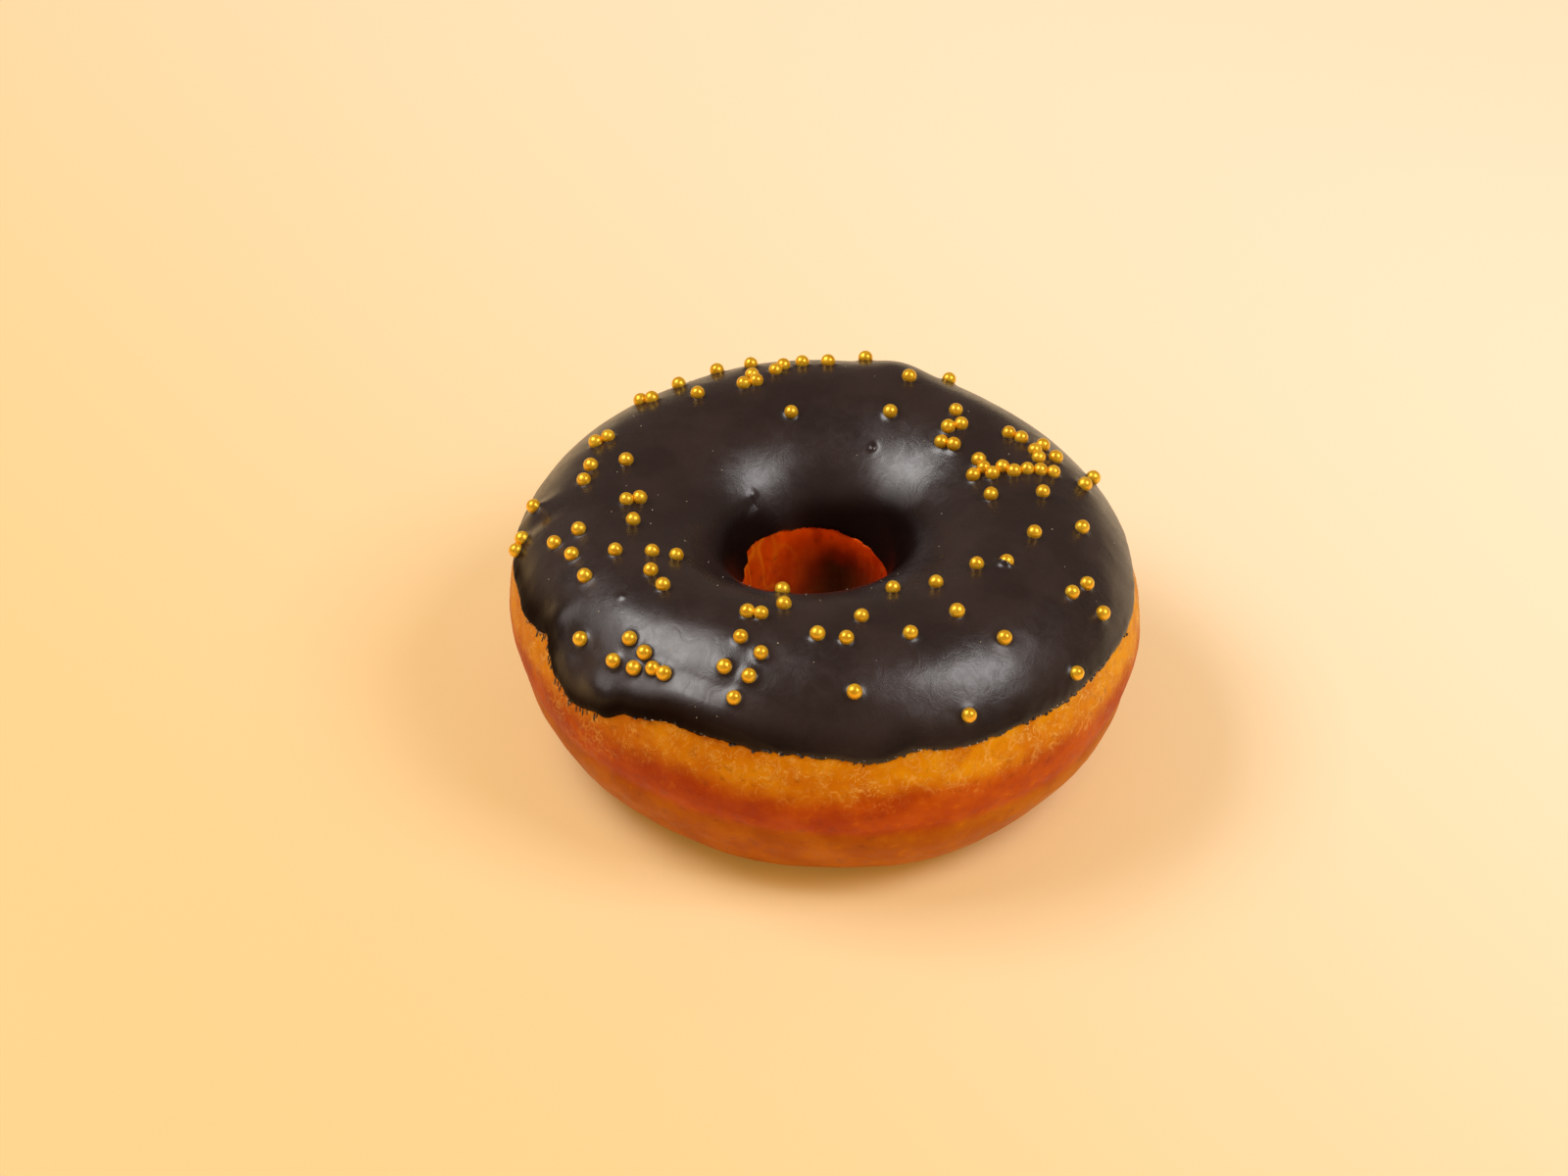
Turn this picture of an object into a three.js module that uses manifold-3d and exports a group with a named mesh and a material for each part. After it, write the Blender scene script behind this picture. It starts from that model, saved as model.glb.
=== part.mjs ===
// Ring doughnut: a fried dough ring, a dark chocolate glaze over its upper half, and gold sugar pearls in it.
// Millimetres, +Z up. The origin lies on the ring's axis, in the plane that the doughnut rests on.
//
// A place on the ring is a bearing and a lean, in degrees. The bearing turns round the axis, from +X to +Y.
// The lean turns round the ring's section: 0 is the crown, 90 the widest point outside and -90 the hole's
// narrowest point.
import * as THREE from "three";
import { mergeVertices } from "three/addons/utils/BufferGeometryUtils.js";
import Module from "manifold-3d";

// ---- Ring ----
const RING_RADIUS = 28; // axis to the middle of the section
const OUTER_HALF_WIDTH = 16; // middle of the section to its widest point outside
const INNER_HALF_WIDTH = 17.7; // middle of the section to the hole's narrowest point
const WIDEST_LEVEL = 20.8; // base plane to the widest point
const CROWN_HEIGHT = 16.3; // widest point to the skin's top, just under the glaze's face
const BASE_FLATTENING = 1; // how much of the round belly the flat base takes off

// ---- Unevenness of a hand-shaped ring ----
const OVAL_BEARING = 135; // the ring is longest along this bearing
const OVAL_SWELL = 1.3; // added to the outside there, taken off a quarter turn away
const HOLE_SWELL = 0.8; // the same for the hole's side of the section
const HOLE_SHIFT = 0.45; // the hole lies this far towards -X
const CROWN_TILT = 0.5; // the crown is this much higher towards +X
const CROWN_SADDLE = 0.8; // and this much higher at +Y and -Y than at +X and -X

// ---- Glaze ----
const GLAZE_THICKNESS = 1.5;
const GLAZE_PROUD = 0.4; // how far the glaze's face stands out from the dough's skin
const GLAZE_GAP = 0.3; // glaze to dough, all over
const EDGE_CLEARANCE = 0.4; // glaze edge to the dough's ledge, along the skin
const LEDGE_RUN = 0.3; // length of the ledge's slope along the skin
const LIP_DROP = 0.5; // how far the rounded lip drops below the glaze's face
// Where the glaze ends outside, as [bearing, lean]: an even hem with one long tongue near 215 degrees.
const OUTER_HEM = [
  [0, 68], [25, 71], [48, 67], [70, 73], [96, 69], [120, 74], [146, 68], [168, 72], [182, 72], [193, 74],
  [200, 74], [208, 83], [219, 84], [225, 80], [231, 71], [241, 65], [255, 67], [270, 68], [278, 70.5],
  [286, 67], [293, 70], [305, 69], [320, 69], [335, 68], [348, 70],
];
// Where the glaze ends in the hole.
const INNER_HEM = [
  [0, -84], [38, -84], [52, -82], [65, -80], [90, -77], [110, -75], [130, -73], [155, -73], [168, -78],
  [185, -80], [210, -77], [235, -82], [262, -78], [290, -83], [320, -79],
];

// ---- Sugar pearls ----
const PEARL_DIAMETER = 2;
const PEARL_SINK = 0.5; // how deep a pearl's lowest point lies under the glaze's face
const PEARL_GAP = 0.3; // pearl to the wall of its socket
const PEARL_SPACING = 0.15; // least room between pearls that don't touch
const BITE = 0.05; // touching pearls overlap by this share of a diameter, so that they hold together
const SUNKEN_PEARL = { place: [330.5, 1], sink: 0.8 }; // one pearl that the glaze has nearly swallowed
// Pearls that lie alone, as [bearing, lean], in turn from +X towards +Y.
const SINGLE_PEARLS = [
  [4.5, -14.5], [11.5, 34.5], [19, 50], [47, -1], [60.5, 36],
  [80, 30], [88.5, 17], [114, 32],
  [162, 21], [167.8, 21], [171, 48], [186.4, -5], [186.5, 21.3], [187, 35], [194, 28],
  [203, 27.5], [203.8, -7.7], [207.7, -17.5], [212.8, 0], [220.5, 2.5], [214.7, 50], [224.7, 49], [225.4, 36],
  [229.7, 47.3], [230.3, 38.5], [248.5, 32], [249.6, 15.5], [252.2, 45], [254.2, 34], [255.5, 22], [257, -11],
  [268, 9], [275, 11.7], [275.6, 38], [280, -1], [290.5, 13.4], [294.5, -18], [296.3, 55.5], [310, 30],
  [320.5, 60], [332.3, 33], [334.7, 50], [337.5, 36.5], [354, 27],
];
// Pearls that touch, one list for each group. After the first, each is [bearing, lean, which one it touches].
const TOUCHING_PEARLS = [
  [[14, 4.5], [14, -3, 0], [18, -6.7, 1], [15, -12, 2], [20, -13.5, 3], [24.5, -13, 4], [18, -19.5, 4],
    [13.5, 12.3, 0], [13, 19.7, 7]],
  [[19, 14], [22.3, 15, 0]],
  [[31, 9.5], [28, 14, 0]],
  [[40.5, -19.5], [36.5, -17, 0]],
  [[41.5, -6], [43.5, -11, 0]],
  [[100, 14], [103, 9, 0]],
  [[109, 3.5], [112, 4, 0], [109, 11, 0]],
  [[133.5, 33], [132, 26, 0]],
  [[150.3, 23], [152.2, 28, 0]],
  [[177, -2], [175, -9, 0]],
  [[177.7, 56], [180, 61.5, 0]],
  [[248, -1], [252.3, -1.5, 0]],
  [[236.5, 43.5], [233.8, 43.5, 0]],
];

// ---- Fineness of the faceted skins ----
const BEARINGS = 60;
const BELLY_STEPS = 8; // base to the glaze's hem, outside
const CROWN_STEPS = 14; // hem to hem, under the glaze
const HOLE_STEPS = 7; // the glaze's hem in the hole down to the base
const GLAZE_STEPS = 15; // hem to hem, on the glaze's face
const PEARL_DETAIL = 1; // an icosahedron divided once
const CORNER_REACH = 1.035; // corners stand out a little, so that a faceted pearl is as large as a round one
const SOCKET_DETAIL = 0; // a plain icosahedron
const SOCKET_FACET_DEPTH = 0.79; // its facets' middles lie this share of the corners' radius from the centre
const SETTLING_ROUNDS = 40; // most passes that move crowded pearls apart

const DOUGH = new THREE.MeshStandardMaterial({ color: 0xb5611a, roughness: 0.5 });
const GLAZE = new THREE.MeshStandardMaterial({ color: 0x2b1d18, roughness: 0.3 });
const GOLD = new THREE.MeshStandardMaterial({ color: 0xe3a21c, roughness: 0.3, metalness: 0.8 });

const FULL_TURN = 360;
const CIRCLE = 2 * Math.PI;
const BELLY_DEPTH = WIDEST_LEVEL + BASE_FLATTENING;
const BASE_LEAN = Math.acos(-WIDEST_LEVEL / BELLY_DEPTH); // where the belly meets the base plane
const CORNER_RADIUS = (PEARL_DIAMETER / 2) * CORNER_REACH;
const radians = THREE.MathUtils.degToRad;

const wasm = await Module();
wasm.setup();

// ---- The ring's skin ----

// The section's size at a bearing.
function sectionAt(bearing) {
  const oval = Math.cos(2 * (bearing - radians(OVAL_BEARING)));
  return {
    outer: OUTER_HALF_WIDTH + OVAL_SWELL * oval,
    inner: INNER_HALF_WIDTH + HOLE_SWELL * oval + HOLE_SHIFT * Math.cos(bearing),
    crown: CROWN_HEIGHT + CROWN_TILT * Math.cos(bearing) - CROWN_SADDLE * Math.cos(2 * bearing),
  };
}

// A point this deep under the skin (above it when negative), never below the base plane.
function skinPoint(bearing, lean, depth = 0) {
  const section = sectionAt(bearing);
  const width = Math.sin(lean) > 0 ? section.outer : section.inner;
  const height = Math.cos(lean) > 0 ? section.crown : BELLY_DEPTH;
  const normal = new THREE.Vector2(Math.sin(lean) / width, Math.cos(lean) / height).normalize();
  const reach = RING_RADIUS + width * Math.sin(lean) - depth * normal.x;
  const level = WIDEST_LEVEL + height * Math.cos(lean) - depth * normal.y;
  return new THREE.Vector3(reach * Math.cos(bearing), reach * Math.sin(bearing), Math.max(level, 0));
}

// The lean of a hem at a bearing, eased between the neighbouring points of its list.
function hemLean(hem, bearing) {
  const degrees = THREE.MathUtils.radToDeg(bearing);
  const closed = [...hem, [FULL_TURN, hem[0][1]]];
  const next = closed.findIndex(([at]) => at > degrees);
  const [startAt, startLean] = closed[next - 1];
  const [endAt, endLean] = closed[next];
  const share = THREE.MathUtils.smoothstep(degrees, startAt, endAt);
  return radians(THREE.MathUtils.lerp(startLean, endLean, share));
}

// Points at equal steps of lean, all at one depth.
function stretch(bearing, from, to, steps, depth) {
  return Array.from({ length: steps + 1 }, (_, i) =>
    skinPoint(bearing, THREE.MathUtils.lerp(from, to, i / steps), depth),
  );
}

// A closed ring from one closed loop of points at each bearing. A loop runs up the outside and down the hole.
function ringGeometry(loopAt) {
  const loops = Array.from({ length: BEARINGS }, (_, i) => loopAt((i * CIRCLE) / BEARINGS));
  const size = loops[0].length;
  const index = [];
  for (let i = 0; i < BEARINGS; i++) {
    const here = i * size;
    const there = ((i + 1) % BEARINGS) * size;
    for (let j = 0; j < size; j++) {
      const k = (j + 1) % size;
      index.push(here + j, there + j, here + k, here + k, there + j, there + k);
    }
  }
  const geometry = new THREE.BufferGeometry().setFromPoints(loops.flat());
  geometry.setIndex(index);
  return geometry;
}

// ---- Manifold solids ----

// A closed geometry as a solid.
function solidOf(geometry) {
  const bare = new THREE.BufferGeometry();
  bare.setAttribute("position", geometry.getAttribute("position"));
  bare.setIndex(geometry.index);
  const merged = mergeVertices(bare);
  const vertProperties = merged.attributes.position.array;
  const triVerts = new Uint32Array(merged.index.array);
  return new wasm.Manifold(new wasm.Mesh({ numProp: 3, vertProperties, triVerts }));
}

// A solid as a geometry.
function geometryOf(solid) {
  const { numProp, numVert, vertProperties, triVerts } = solid.getMesh();
  const positions = new Float32Array(numVert * 3);
  for (let i = 0; i < numVert; i++) {
    positions.set(vertProperties.subarray(i * numProp, i * numProp + 3), i * 3);
  }
  const geometry = new THREE.BufferGeometry();
  geometry.setAttribute("position", new THREE.BufferAttribute(positions, 3));
  geometry.setIndex(new THREE.BufferAttribute(new Uint32Array(triVerts), 1));
  return geometry;
}

// A faceted ball at each centre, joined into one solid.
function ballsAt(centres, radius, detail) {
  return centres
    .map((centre) => new THREE.IcosahedronGeometry(radius, detail).translate(...centre.toArray()))
    .map(solidOf)
    .reduce((joined, ball) => joined.add(ball));
}

// A named mesh.
function piece(name, geometry, material) {
  geometry.computeVertexNormals();
  const mesh = new THREE.Mesh(geometry, material);
  mesh.name = name;
  return mesh;
}

// ---- Dough ----

// Near the hems the skin runs almost straight down, so a length along it is the crown height times the lean.
function leanFor(length) {
  return length / CROWN_HEIGHT;
}

// The dough's section: flat base, round belly, and a seat for the glaze between two ledges.
function doughLoop(bearing) {
  const seatDepth = GLAZE_THICKNESS - GLAZE_PROUD + GLAZE_GAP;
  const outerSeat = hemLean(OUTER_HEM, bearing) + leanFor(EDGE_CLEARANCE);
  const innerSeat = hemLean(INNER_HEM, bearing) - leanFor(EDGE_CLEARANCE);
  return [
    ...stretch(bearing, BASE_LEAN, outerSeat + leanFor(LEDGE_RUN), BELLY_STEPS, 0),
    ...stretch(bearing, outerSeat, innerSeat, CROWN_STEPS, seatDepth),
    ...stretch(bearing, innerSeat - leanFor(LEDGE_RUN), -BASE_LEAN, HOLE_STEPS, 0),
  ];
}

function dough() {
  return piece("dough_ring", ringGeometry(doughLoop), DOUGH);
}

// ---- Glaze ----

// The glaze's section: its face from hem to hem with a lip at each end, and its underside back again.
function glazeLoop(bearing) {
  const outer = hemLean(OUTER_HEM, bearing);
  const inner = hemLean(INNER_HEM, bearing);
  const face = stretch(bearing, outer, inner, GLAZE_STEPS, -GLAZE_PROUD);
  face[0] = skinPoint(bearing, outer, LIP_DROP - GLAZE_PROUD);
  face[GLAZE_STEPS] = skinPoint(bearing, inner, LIP_DROP - GLAZE_PROUD);
  return [...face, ...stretch(bearing, inner, outer, CROWN_STEPS, GLAZE_THICKNESS - GLAZE_PROUD)];
}

// The glaze with a socket under every pearl.
function glaze(centres) {
  const socketRadius = (CORNER_RADIUS + PEARL_GAP) / SOCKET_FACET_DEPTH;
  const solid = solidOf(ringGeometry(glazeLoop)).subtract(ballsAt(centres, socketRadius, SOCKET_DETAIL));
  return piece("chocolate_glaze", geometryOf(solid), GLAZE);
}

// ---- Sugar pearls ----

// A pearl's centre, for a place in degrees and how deep the pearl is sunk.
function pearlCentre([bearing, lean], sink = PEARL_SINK) {
  return skinPoint(radians(bearing), radians(lean), sink - PEARL_DIAMETER / 2 - GLAZE_PROUD);
}

// The centres of one touching group: each pearl is drawn up to the one it touches.
function groupCentres(places) {
  const centres = [];
  for (const [bearing, lean, touched] of places) {
    const centre = pearlCentre([bearing, lean]);
    if (touched !== undefined) {
      const anchor = centres[touched];
      centre.sub(anchor).setLength(PEARL_DIAMETER * (1 - BITE)).add(anchor);
    }
    centres.push(centre);
  }
  return centres;
}

// Moves two groups apart, half each, where a pearl of one crowds a pearl of the other.
function partGroups(one, other) {
  let moved = false;
  for (const a of one) {
    for (const b of other) {
      const apart = b.clone().sub(a);
      const shortfall = PEARL_DIAMETER + PEARL_SPACING - apart.length();
      if (shortfall <= 0) continue;
      apart.setLength(shortfall / 2);
      other.forEach((centre) => centre.add(apart));
      one.forEach((centre) => centre.sub(apart));
      moved = true;
    }
  }
  return moved;
}

// Parts every pair of groups until none is crowded.
function settle(groups) {
  for (let round = 0; round < SETTLING_ROUNDS; round++) {
    let moved = false;
    groups.forEach((one, i) => {
      for (const other of groups.slice(i + 1)) moved = partGroups(one, other) || moved;
    });
    if (!moved) return;
  }
}

// ---- The doughnut ----

const singles = SINGLE_PEARLS.map((place) => [pearlCentre(place)]);
const sunken = [pearlCentre(SUNKEN_PEARL.place, SUNKEN_PEARL.sink)];
const clusters = TOUCHING_PEARLS.map(groupCentres);
settle([...singles, sunken, ...clusters]);

// Pearls as meshes, numbered where there are several.
function pearlMesh(name, centres) {
  return piece(name, geometryOf(ballsAt(centres, CORNER_RADIUS, PEARL_DETAIL)), GOLD);
}

const numbered = (name, i) => `${name}_${String(i + 1).padStart(2, "0")}`;

const doughnut = new THREE.Group();
doughnut.name = "ring_doughnut";
doughnut.add(dough());
doughnut.add(glaze([...singles, sunken, ...clusters].flat()));
singles.forEach((centres, i) => doughnut.add(pearlMesh(numbered("sugar_pearl", i), centres)));
clusters.forEach((centres, i) => doughnut.add(pearlMesh(numbered("pearl_cluster", i), centres)));
doughnut.add(pearlMesh("sunken_pearl", sunken));

export default doughnut;
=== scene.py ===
"""Ring doughnut: fried dough, a dark chocolate glaze over its upper half and gold sugar pearls in it.

Everything is in metres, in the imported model's frame: +Z up, the origin on the ring's axis in the plane it
rests on. A place on the ring is a bearing and a lean, in degrees. The bearing turns from +X to +Y. The lean
turns round the ring's section: 0 is the crown, 90 the widest point outside and -90 the hole's narrowest.
"""

import math
from itertools import product

import bmesh
import bpy
import numpy as np
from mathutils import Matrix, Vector

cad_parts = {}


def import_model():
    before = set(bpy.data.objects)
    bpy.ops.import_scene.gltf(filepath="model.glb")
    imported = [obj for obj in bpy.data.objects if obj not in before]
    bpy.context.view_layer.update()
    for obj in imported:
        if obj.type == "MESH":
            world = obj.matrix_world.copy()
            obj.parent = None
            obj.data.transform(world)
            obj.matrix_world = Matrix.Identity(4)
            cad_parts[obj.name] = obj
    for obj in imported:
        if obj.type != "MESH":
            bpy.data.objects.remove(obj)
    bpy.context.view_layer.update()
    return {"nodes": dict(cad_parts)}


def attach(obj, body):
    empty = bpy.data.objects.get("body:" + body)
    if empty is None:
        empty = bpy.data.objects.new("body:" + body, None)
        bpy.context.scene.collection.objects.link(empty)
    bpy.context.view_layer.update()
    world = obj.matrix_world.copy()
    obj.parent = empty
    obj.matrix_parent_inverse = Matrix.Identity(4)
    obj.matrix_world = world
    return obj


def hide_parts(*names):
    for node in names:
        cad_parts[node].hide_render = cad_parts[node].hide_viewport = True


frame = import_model()

MM = 0.001
SEED = 20

# ---- The ring's skin, as in the CAD model ----
RING_RADIUS = 28 * MM
OUTER_HALF_WIDTH = 16 * MM
INNER_HALF_WIDTH = 17.7 * MM
WIDEST_LEVEL = 20.8 * MM
CROWN_HEIGHT = 16.3 * MM
BELLY_DEPTH = WIDEST_LEVEL + 1 * MM
OVAL_BEARING = math.radians(135)
OVAL_SWELL = 1.3 * MM
HOLE_SWELL = 0.8 * MM
HOLE_SHIFT = 0.45 * MM
CROWN_TILT = 0.5 * MM
CROWN_SADDLE = 0.8 * MM
BASE_LEAN = math.degrees(math.acos(-WIDEST_LEVEL / BELLY_DEPTH))
GLAZE_PROUD = 0.4 * MM
PEARL_RADIUS = 1 * MM
PEARL_SINK = 0.5 * MM
CORNER_RADIUS = 1.035 * MM  # of the CAD model's faceted pearls

# How much further in the hole's wall stands than the CAD model's on its +X side, and how much further out
# on its -X side.
RIGHT_WALL_IN = 0.9 * MM
LEFT_WALL_OUT = 0.5 * MM

# ---- Where the glaze ends, as [bearing, lean] ----
OUTER_HEM = [
    [0, 68], [25, 71], [48, 67], [70, 73], [96, 69], [120, 74], [146, 68], [168, 70], [180, 70],
    [190, 69], [194, 71], [201, 68], [205, 63.5], [208, 71], [211, 78], [217, 83], [225, 79], [231, 71],
    [241, 65], [255, 67], [270, 68], [278, 70.5], [286, 67], [293, 70], [305, 69], [320, 69], [335, 69],
    [348, 70],
]
INNER_HEM = [
    [0, -84], [38, -84], [52, -82], [65, -80], [90, -77], [110, -75], [130, -73], [147, -71],
    [160, -71.5], [164, -77], [171, -77], [176, -81], [185, -80], [210, -77], [235, -82], [262, -78],
    [290, -83], [320, -79],
]
OUTER_RAGGEDNESS = 0.35 * MM
INNER_RAGGEDNESS = 0.16 * MM
RAGGED_NOISE = [[5 * MM, 1.0], [1.3 * MM, 0.8], [0.6 * MM, 0.45]]  # the width of its bumps and its share
HEM_MARGIN = 0.3 * MM  # from a hem out to the dough's close rows, and in to the glaze's back
TUCK = 0.8 * MM  # from a hem to where the dough has sunk away under the glaze
SEAT_DEPTH = 0.9 * MM  # of the dough under the glaze
BACK_DEPTH = 0.6 * MM  # of the glaze's back
FRONT_LEFT = 205  # the bearing round which the crust is tinted darkest and most orange and the glaze's edge takes the most painted shade

# ---- Fineness of the meshes ----
BEARINGS = 1440
BELLY_ROWS = 104
HEM_ROWS = 6
SEAT_ROWS = 22
HOLE_ROWS = 84
BASE_ROWS = 8
FACE_ROWS = 180
LIP_ROWS = 9

# Pearls that the CAD model has no node for, as [bearing, lean].
PLAIN_PEARLS = [
    [124, 30], [125, 10], [107, 24], [95, 16.5], [102, -20], [66, 9], [65, -17], [25, 23], [20, 25],
    [4, 8.4], [345.5, 5.5], [324.5, -8], [308, -11], [304.5, 9.5], [252, -32], [159.3, 5], [199.4, 8],
]
FAR_SLOPE_PEARLS = [[54, 66], [57.5, 64.5], [71, 62], [84, 64], [86.5, 61.5], [103, 65.5], [111, 66.5]]


def smooth(value, start, end):
    """0 before start, 1 after end, eased between."""
    share = np.clip((value - start) / (end - start), 0, 1)
    return share * share * (3 - 2 * share)


def hump(value, centre, width):
    """1 at the centre, fading to 0 some two widths away."""
    return np.exp(-(((value - centre) / width) ** 2))


def turn_from(bearing, centre):
    """Degrees from one bearing to another, the short way round."""
    return (bearing - centre + 180) % 360 - 180


# ---- Noise ----
GRADIENTS = np.random.default_rng(SEED).normal(size=(256, 3))
GRADIENTS /= np.linalg.norm(GRADIENTS, axis=1)[:, None]
HASH_PRIMES = (73856093, 19349663, 83492791)
SEED_PRIME = 2654435
SEED_STEP = 31.7  # in cells, how far one seed's noise lies from the next one's
OFF_GRID = 0.37
NOISE_GAIN = 1.6


def noise_at(points, cell, seed=0):
    """Smooth noise from about -1 to 1, whose bumps are about a cell wide."""
    where = points / cell + SEED_STEP * seed + OFF_GRID
    corner = np.floor(where).astype(np.int64)
    inside = where - corner
    ease = inside**3 * (inside * (inside * 6 - 15) + 10)
    total = np.zeros(points.shape[:-1])
    for step in product((0, 1), repeat=3):
        mixed = np.bitwise_xor.reduce((corner + step) * HASH_PRIMES, axis=-1) ^ (seed * SEED_PRIME)
        gradient = GRADIENTS[(mixed ^ (mixed >> 9)) & 255]
        share = np.prod(np.where(step, ease, 1 - ease), axis=-1)
        total += share * np.sum(gradient * (inside - step), axis=-1)
    return total * NOISE_GAIN


def layered_noise(points, layers):
    """A sum of noises, each given by its height, the width of its bumps and its seed."""
    return sum(height * noise_at(points, cell, seed) for height, cell, seed in layers)


# ---- The skin ----
def skin(bearing, lean, depth=0.0):
    """Points this deep under the skin, above it when negative, and never below the base plane."""
    turn, tip = np.radians(bearing), np.radians(lean)
    oval = np.cos(2 * (turn - OVAL_BEARING))
    outer = OUTER_HALF_WIDTH + OVAL_SWELL * oval
    inner = INNER_HALF_WIDTH + HOLE_SWELL * oval + HOLE_SHIFT * np.cos(turn)
    crown = CROWN_HEIGHT + CROWN_TILT * np.cos(turn) - CROWN_SADDLE * np.cos(2 * turn)
    width = np.where(np.sin(tip) > 0, outer, inner)
    height = np.where(np.cos(tip) > 0, crown, BELLY_DEPTH)
    out, up = np.sin(tip) / width, np.cos(tip) / height
    length = np.hypot(out, up)
    reach = RING_RADIUS + width * np.sin(tip) - depth * out / length
    level = WIDEST_LEVEL + height * np.cos(tip) - depth * up / length
    return np.stack([reach * np.cos(turn), reach * np.sin(turn), np.maximum(level, 0)], -1)


def hole_fill(bearing, lean):
    """How far the hole's wall stands further in than the CAD model's. Negative is further out."""
    right = np.cos(np.radians(bearing))
    return smooth(-lean, 25, 70) * np.where(right > 0, RIGHT_WALL_IN, LEFT_WALL_OUT) * right


def skin_normal(bearing, lean):
    step = MM
    rise = skin(bearing, lean, -step) - skin(bearing, lean)
    return rise / np.linalg.norm(rise, axis=-1, keepdims=True)


def hem_lean(hem, bearing):
    """The hem's lean at each bearing, eased between the neighbouring points of its list."""
    closed = np.array(hem + [[360, hem[0][1]]], float)
    after = np.clip(np.searchsorted(closed[:, 0], bearing % 360, side="right"), 1, len(closed) - 1)
    start, end = closed[after - 1], closed[after]
    share = smooth(bearing % 360, start[:, 0], end[:, 0])
    return start[:, 1] + (end[:, 1] - start[:, 1]) * share


def lean_for(length):
    """Degrees of lean for a length along the skin, near the hems."""
    return np.degrees(length / CROWN_HEIGHT)


def ragged_hem(hem, bearing, amount, seed):
    """A hem with the small unevenness of a set edge."""
    circle = skin(bearing, np.zeros_like(bearing))
    layers = [[share, cell, seed + i] for i, (cell, share) in enumerate(RAGGED_NOISE)]
    return hem_lean(hem, bearing) + lean_for(amount) * layered_noise(circle, layers)


BEARING = np.arange(BEARINGS) * 360 / BEARINGS
OUTER_EDGE = ragged_hem(OUTER_HEM, BEARING, OUTER_RAGGEDNESS, 3)
INNER_EDGE = ragged_hem(INNER_HEM, BEARING, INNER_RAGGEDNESS, 7)


# ---- Mesh building ----
def mesh_object(name, points, faces, material, replaced=()):
    """A smooth mesh that rides on the body, takes its finish from a slot and may stand for CAD nodes."""
    mesh = bpy.data.meshes.new(name)
    mesh.from_pydata(points.reshape(-1, 3), [], faces)
    mesh.shade_smooth()
    mesh.materials.append(material)
    piece = bpy.data.objects.new(name, mesh)
    bpy.context.scene.collection.objects.link(piece)
    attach(piece, "root")
    if replaced:
        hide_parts(*replaced)
    return piece


def ring_faces(rows, size):
    """Quads between closed loops of points, one loop for each bearing."""
    row, column = np.meshgrid(np.arange(rows), np.arange(size), indexing="ij")
    next_row, next_column = (row + 1) % rows, (column + 1) % size
    corners = [(row, column), (next_row, column), (next_row, next_column), (row, next_column)]
    return np.stack([r * size + c for r, c in corners], -1).reshape(-1, 4)


def add_attribute(piece, name, values):
    attribute = piece.data.attributes.new(name, "FLOAT", "POINT")
    attribute.data.foreach_set("value", np.ascontiguousarray(values, np.float32).ravel())


def between(start, end, rows, last=True):
    """Rows of lean from start to end at every bearing, as a table with a line for each bearing."""
    share = np.linspace(0, 1, rows, endpoint=last)
    start, end = np.broadcast_to(start, BEARINGS), np.broadcast_to(end, BEARINGS)
    return start[:, None] + (end - start)[:, None] * share


# ---- Node helpers ----
def new_material(name):
    material = bpy.data.materials.new(name)
    material.use_nodes = True
    nodes = material.node_tree.nodes
    return material, material.node_tree, nodes["Principled BSDF"]


def node(tree, kind, values=(), **settings):
    """A node with its inputs given by name or place, linked where the value is another node's output."""
    made = tree.nodes.new("ShaderNode" + kind)
    for key, value in settings.items():
        setattr(made, key, value)
    for key, value in dict(values).items():
        if isinstance(value, bpy.types.NodeSocket):
            tree.links.new(value, made.inputs[key])
        else:
            made.inputs[key].default_value = value
    return made


def attribute(tree, name):
    return node(tree, "Attribute", attribute_name=name).outputs["Fac"]


def noise(tree, scale, detail=3.0, distortion=0.0, roughness=0.55):
    """Noise in the object's own space. The scale is in bumps to the metre."""
    place = node(tree, "TexCoord").outputs["Object"]
    values = {"Vector": place, "Scale": scale, "Detail": detail}
    values.update(Distortion=distortion, Roughness=roughness)
    return node(tree, "TexNoise", values).outputs["Fac"]


def spread(tree, value, low, high, to_low=0.0, to_high=1.0):
    """A value's range mapped smoothly onto another."""
    values = {0: value, 1: low, 2: high, 3: to_low, 4: to_high}
    return node(tree, "MapRange", values, interpolation_type="SMOOTHSTEP").outputs[0]


def blend(tree, share, first, second, kind="MIX"):
    """Two colours mixed, each a colour or another node's output."""
    made = node(tree, "Mix", {0: share}, data_type="RGBA", blend_type=kind)
    for place, colour in ((6, first), (7, second)):
        if isinstance(colour, bpy.types.NodeSocket):
            tree.links.new(colour, made.inputs[place])
        else:
            made.inputs[place].default_value = (*colour, 1)
    return made.outputs[2]


def calculate(tree, operation, first, second):
    return node(tree, "Math", {0: first, 1: second}, operation=operation).outputs[0]


def threads(tree, scale, width):
    """Thin curling lines, broken into short lengths."""
    line = calculate(tree, "ABSOLUTE", calculate(tree, "SUBTRACT", noise(tree, scale, 2, 1.2), 0.5), 0)
    lengths = spread(tree, noise(tree, 0.6 * scale, 1), 0.48, 0.62)
    return calculate(tree, "MULTIPLY", spread(tree, line, 0, width, 1, 0), lengths)


def bump(tree, height, distance, strength=1.0, below=None):
    values = {"Height": height, "Distance": distance, "Strength": strength}
    if below is not None:
        values["Normal"] = below
    return node(tree, "Bump", values).outputs["Normal"]


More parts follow.
